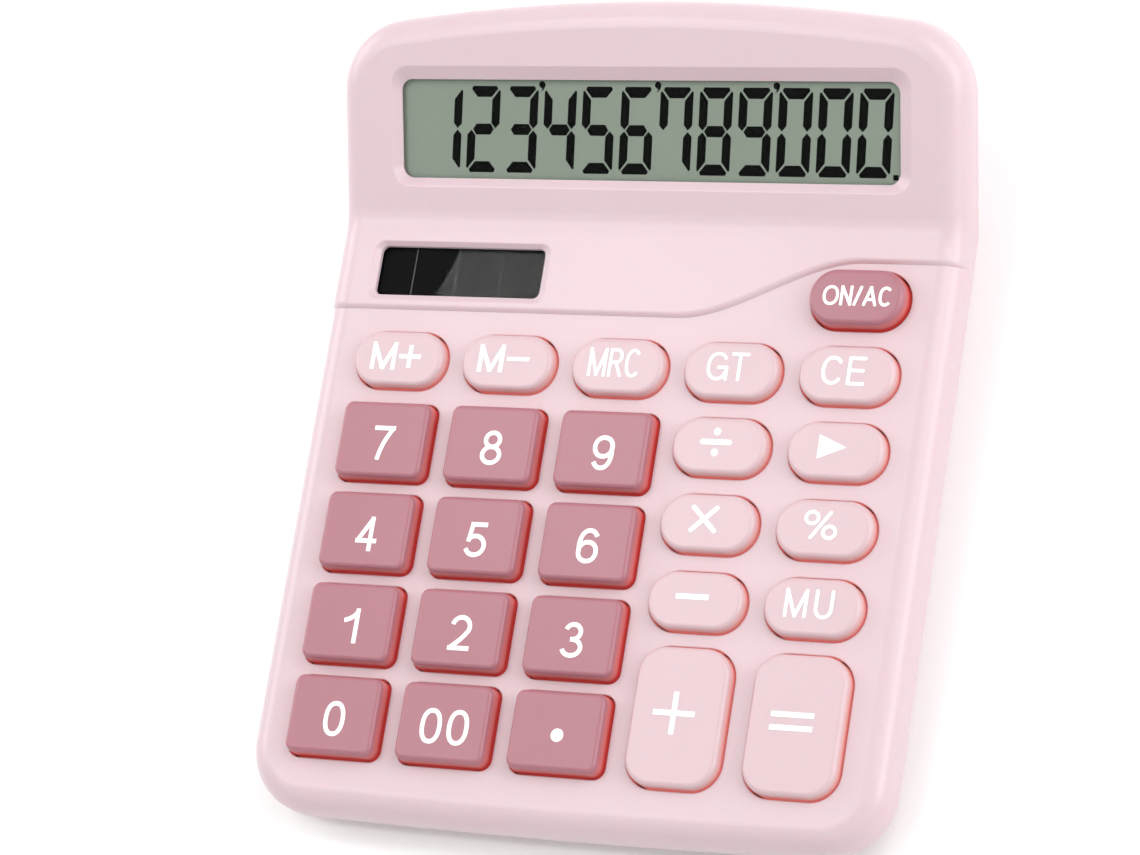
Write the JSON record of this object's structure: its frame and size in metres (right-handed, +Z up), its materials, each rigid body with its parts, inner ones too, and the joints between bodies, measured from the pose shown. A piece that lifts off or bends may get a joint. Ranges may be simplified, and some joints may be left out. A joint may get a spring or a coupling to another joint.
{
  "type": "desk calculator",
  "caption": "Desk calculator with raised sloping display, solar panel, sprung square and oval keys, and a battery door underneath.",
  "frame": {"origin": "bottom centre of the bounding box, on the plane of the feet's undersides", "axes": "+X to the user's right along the keypad rows, +Y to the rear where the display is, +Z up"},
  "size_m": [0.1194, 0.1464, 0.0339],
  "materials": {
    "case_plastic": "smooth satin pale pink moulded plastic",
    "base_plastic": "fine matt pale pink moulded plastic",
    "rose_key_plastic": "satin deep rose moulded plastic",
    "pale_key_plastic": "satin pale pink moulded plastic",
    "clear_window": "clear moulded window",
    "display_glass": "grey-green reflective liquid crystal glass",
    "holder_plastic": "off-white moulded plastic",
    "ribbon_film": "amber printed film",
    "solar_glass": "near-black cell glass with thin dividing lines",
    "membrane_rubber": "translucent grey silicone",
    "carbon_rubber": "black conductive rubber",
    "circuit_board": "green printed board",
    "chip_resin": "black epoxy",
    "resistor_ceramic": "black chip resistors",
    "capacitor_can": "sleeved aluminium can",
    "screw_steel": "zinc-plated steel",
    "feet_rubber": "grey soft rubber",
    "cell_jacket": "plain printed jacket over steel can",
    "contact_steel": "nickel-plated spring steel",
    "wire_red": "red wire insulation",
    "wire_black": "black wire insulation"
  },
  "bodies": {
    "root": {"top_case": "case_plastic", "bottom_case": "base_plastic", "display_window": "clear_window", "solar_window": "clear_window", "display_panel": "display_glass", "display_holder": "holder_plastic", "display_ribbon": "ribbon_film", "solar_panel": "solar_glass", "key_membrane": "membrane_rubber", "carbon_pills": "carbon_rubber", "main_circuit_board": "circuit_board", "chip_cover": "chip_resin", "chip_resistors": "resistor_ceramic", "board_capacitor": "capacitor_can", "board_screws": "screw_steel", "case_screws": "screw_steel", "rubber_feet": "feet_rubber", "battery_cell": "cell_jacket", "positive_contact": "contact_steel", "negative_contact": "contact_steel", "negative_spring": "contact_steel", "solar_wire_red": "wire_red", "battery_wire_red": "wire_red", "solar_wire_black": "wire_black", "battery_wire_black": "wire_black"},
    "key_7": {"key_7": "rose_key_plastic"},
    "key_8": {"key_8": "rose_key_plastic"},
    "key_9": {"key_9": "rose_key_plastic"},
    "key_4": {"key_4": "rose_key_plastic"},
    "key_5": {"key_5": "rose_key_plastic"},
    "key_6": {"key_6": "rose_key_plastic"},
    "key_1": {"key_1": "rose_key_plastic"},
    "key_2": {"key_2": "rose_key_plastic"},
    "key_3": {"key_3": "rose_key_plastic"},
    "key_0": {"key_0": "rose_key_plastic"},
    "key_00": {"key_00": "rose_key_plastic"},
    "key_point": {"key_point": "rose_key_plastic"},
    "key_memory_plus": {"key_memory_plus": "pale_key_plastic"},
    "key_memory_minus": {"key_memory_minus": "pale_key_plastic"},
    "key_memory_recall": {"key_memory_recall": "pale_key_plastic"},
    "key_grand_total": {"key_grand_total": "pale_key_plastic"},
    "key_clear_entry": {"key_clear_entry": "pale_key_plastic"},
    "key_divide": {"key_divide": "pale_key_plastic"},
    "key_backspace": {"key_backspace": "pale_key_plastic"},
    "key_multiply": {"key_multiply": "pale_key_plastic"},
    "key_percent": {"key_percent": "pale_key_plastic"},
    "key_minus": {"key_minus": "pale_key_plastic"},
    "key_mark_up": {"key_mark_up": "pale_key_plastic"},
    "key_plus": {"key_plus": "pale_key_plastic"},
    "key_equals": {"key_equals": "pale_key_plastic"},
    "key_on_clear": {"key_on_clear": "rose_key_plastic"},
    "battery_door": {"battery_door": "base_plastic"}
  },
  "joints": [
    {"name": "key_7_press", "type": "slide", "parent": "root", "child": "key_7", "axis": [0, 0.0523, -0.9986], "range_m": [0, 0.0014], "stiffness_N_per_m": 400, "springref_m": -0.001, "deforming": ["key_membrane", "carbon_pills"]},
    {"name": "key_8_press", "type": "slide", "parent": "root", "child": "key_8", "axis": [0, 0.0523, -0.9986], "range_m": [0, 0.0014], "stiffness_N_per_m": 400, "springref_m": -0.001, "deforming": ["key_membrane", "carbon_pills"]},
    {"name": "key_9_press", "type": "slide", "parent": "root", "child": "key_9", "axis": [0, 0.0523, -0.9986], "range_m": [0, 0.0014], "stiffness_N_per_m": 400, "springref_m": -0.001, "deforming": ["key_membrane", "carbon_pills"]},
    {"name": "key_4_press", "type": "slide", "parent": "root", "child": "key_4", "axis": [0, 0.0523, -0.9986], "range_m": [0, 0.0014], "stiffness_N_per_m": 400, "springref_m": -0.001, "deforming": ["key_membrane", "carbon_pills"]},
    {"name": "key_5_press", "type": "slide", "parent": "root", "child": "key_5", "axis": [0, 0.0523, -0.9986], "range_m": [0, 0.0014], "stiffness_N_per_m": 400, "springref_m": -0.001, "deforming": ["key_membrane", "carbon_pills"]},
    {"name": "key_6_press", "type": "slide", "parent": "root", "child": "key_6", "axis": [0, 0.0523, -0.9986], "range_m": [0, 0.0014], "stiffness_N_per_m": 400, "springref_m": -0.001, "deforming": ["key_membrane", "carbon_pills"]},
    {"name": "key_1_press", "type": "slide", "parent": "root", "child": "key_1", "axis": [0, 0.0523, -0.9986], "range_m": [0, 0.0014], "stiffness_N_per_m": 400, "springref_m": -0.001, "deforming": ["key_membrane", "carbon_pills"]},
    {"name": "key_2_press", "type": "slide", "parent": "root", "child": "key_2", "axis": [0, 0.0523, -0.9986], "range_m": [0, 0.0014], "stiffness_N_per_m": 400, "springref_m": -0.001, "deforming": ["key_membrane", "carbon_pills"]},
    {"name": "key_3_press", "type": "slide", "parent": "root", "child": "key_3", "axis": [0, 0.0523, -0.9986], "range_m": [0, 0.0014], "stiffness_N_per_m": 400, "springref_m": -0.001, "deforming": ["key_membrane", "carbon_pills"]},
    {"name": "key_0_press", "type": "slide", "parent": "root", "child": "key_0", "axis": [0, 0.0523, -0.9986], "range_m": [0, 0.0014], "stiffness_N_per_m": 400, "springref_m": -0.001, "deforming": ["key_membrane", "carbon_pills"]},
    {"name": "key_00_press", "type": "slide", "parent": "root", "child": "key_00", "axis": [0, 0.0523, -0.9986], "range_m": [0, 0.0014], "stiffness_N_per_m": 400, "springref_m": -0.001, "deforming": ["key_membrane", "carbon_pills"]},
    {"name": "key_point_press", "type": "slide", "parent": "root", "child": "key_point", "axis": [0, 0.0523, -0.9986], "range_m": [0, 0.0014], "stiffness_N_per_m": 400, "springref_m": -0.001, "deforming": ["key_membrane", "carbon_pills"]},
    {"name": "key_memory_plus_press", "type": "slide", "parent": "root", "child": "key_memory_plus", "axis": [0, 0.0523, -0.9986], "range_m": [0, 0.0014], "stiffness_N_per_m": 400, "springref_m": -0.001, "deforming": ["key_membrane", "carbon_pills"]},
    {"name": "key_memory_minus_press", "type": "slide", "parent": "root", "child": "key_memory_minus", "axis": [0, 0.0523, -0.9986], "range_m": [0, 0.0014], "stiffness_N_per_m": 400, "springref_m": -0.001, "deforming": ["key_membrane", "carbon_pills"]},
    {"name": "key_memory_recall_press", "type": "slide", "parent": "root", "child": "key_memory_recall", "axis": [0, 0.0523, -0.9986], "range_m": [0, 0.0014], "stiffness_N_per_m": 400, "springref_m": -0.001, "deforming": ["key_membrane", "carbon_pills"]},
    {"name": "key_grand_total_press", "type": "slide", "parent": "root", "child": "key_grand_total", "axis": [0, 0.0523, -0.9986], "range_m": [0, 0.0014], "stiffness_N_per_m": 400, "springref_m": -0.001, "deforming": ["key_membrane", "carbon_pills"]},
    {"name": "key_clear_entry_press", "type": "slide", "parent": "root", "child": "key_clear_entry", "axis": [0, 0.0523, -0.9986], "range_m": [0, 0.0014], "stiffness_N_per_m": 400, "springref_m": -0.001, "deforming": ["key_membrane", "carbon_pills"]},
    {"name": "key_divide_press", "type": "slide", "parent": "root", "child": "key_divide", "axis": [0, 0.0523, -0.9986], "range_m": [0, 0.0014], "stiffness_N_per_m": 400, "springref_m": -0.001, "deforming": ["key_membrane", "carbon_pills"]},
    {"name": "key_backspace_press", "type": "slide", "parent": "root", "child": "key_backspace", "axis": [0, 0.0523, -0.9986], "range_m": [0, 0.0014], "stiffness_N_per_m": 400, "springref_m": -0.001, "deforming": ["key_membrane", "carbon_pills"]},
    {"name": "key_multiply_press", "type": "slide", "parent": "root", "child": "key_multiply", "axis": [0, 0.0523, -0.9986], "range_m": [0, 0.0014], "stiffness_N_per_m": 400, "springref_m": -0.001, "deforming": ["key_membrane", "carbon_pills"]},
    {"name": "key_percent_press", "type": "slide", "parent": "root", "child": "key_percent", "axis": [0, 0.0523, -0.9986], "range_m": [0, 0.0014], "stiffness_N_per_m": 400, "springref_m": -0.001, "deforming": ["key_membrane", "carbon_pills"]},
    {"name": "key_minus_press", "type": "slide", "parent": "root", "child": "key_minus", "axis": [0, 0.0523, -0.9986], "range_m": [0, 0.0014], "stiffness_N_per_m": 400, "springref_m": -0.001, "deforming": ["key_membrane", "carbon_pills"]},
    {"name": "key_mark_up_press", "type": "slide", "parent": "root", "child": "key_mark_up", "axis": [0, 0.0523, -0.9986], "range_m": [0, 0.0014], "stiffness_N_per_m": 400, "springref_m": -0.001, "deforming": ["key_membrane", "carbon_pills"]},
    {"name": "key_plus_press", "type": "slide", "parent": "root", "child": "key_plus", "axis": [0, 0.0523, -0.9986], "range_m": [0, 0.0014], "stiffness_N_per_m": 400, "springref_m": -0.001, "deforming": ["key_membrane", "carbon_pills"]},
    {"name": "key_equals_press", "type": "slide", "parent": "root", "child": "key_equals", "axis": [0, 0.0523, -0.9986], "range_m": [0, 0.0014], "stiffness_N_per_m": 400, "springref_m": -0.001, "deforming": ["key_membrane", "carbon_pills"]},
    {"name": "key_on_clear_press", "type": "slide", "parent": "root", "child": "key_on_clear", "axis": [0, 0.0523, -0.9986], "range_m": [0, 0.0014], "stiffness_N_per_m": 400, "springref_m": -0.001, "deforming": ["key_membrane", "carbon_pills"]},
    {"name": "battery_door_tilt", "type": "hinge", "parent": "root", "child": "battery_door", "pos_m": [0, 0.04725, 0.001], "axis": [-1, 0, 0], "range_deg": [0, 40]}
  ]
}
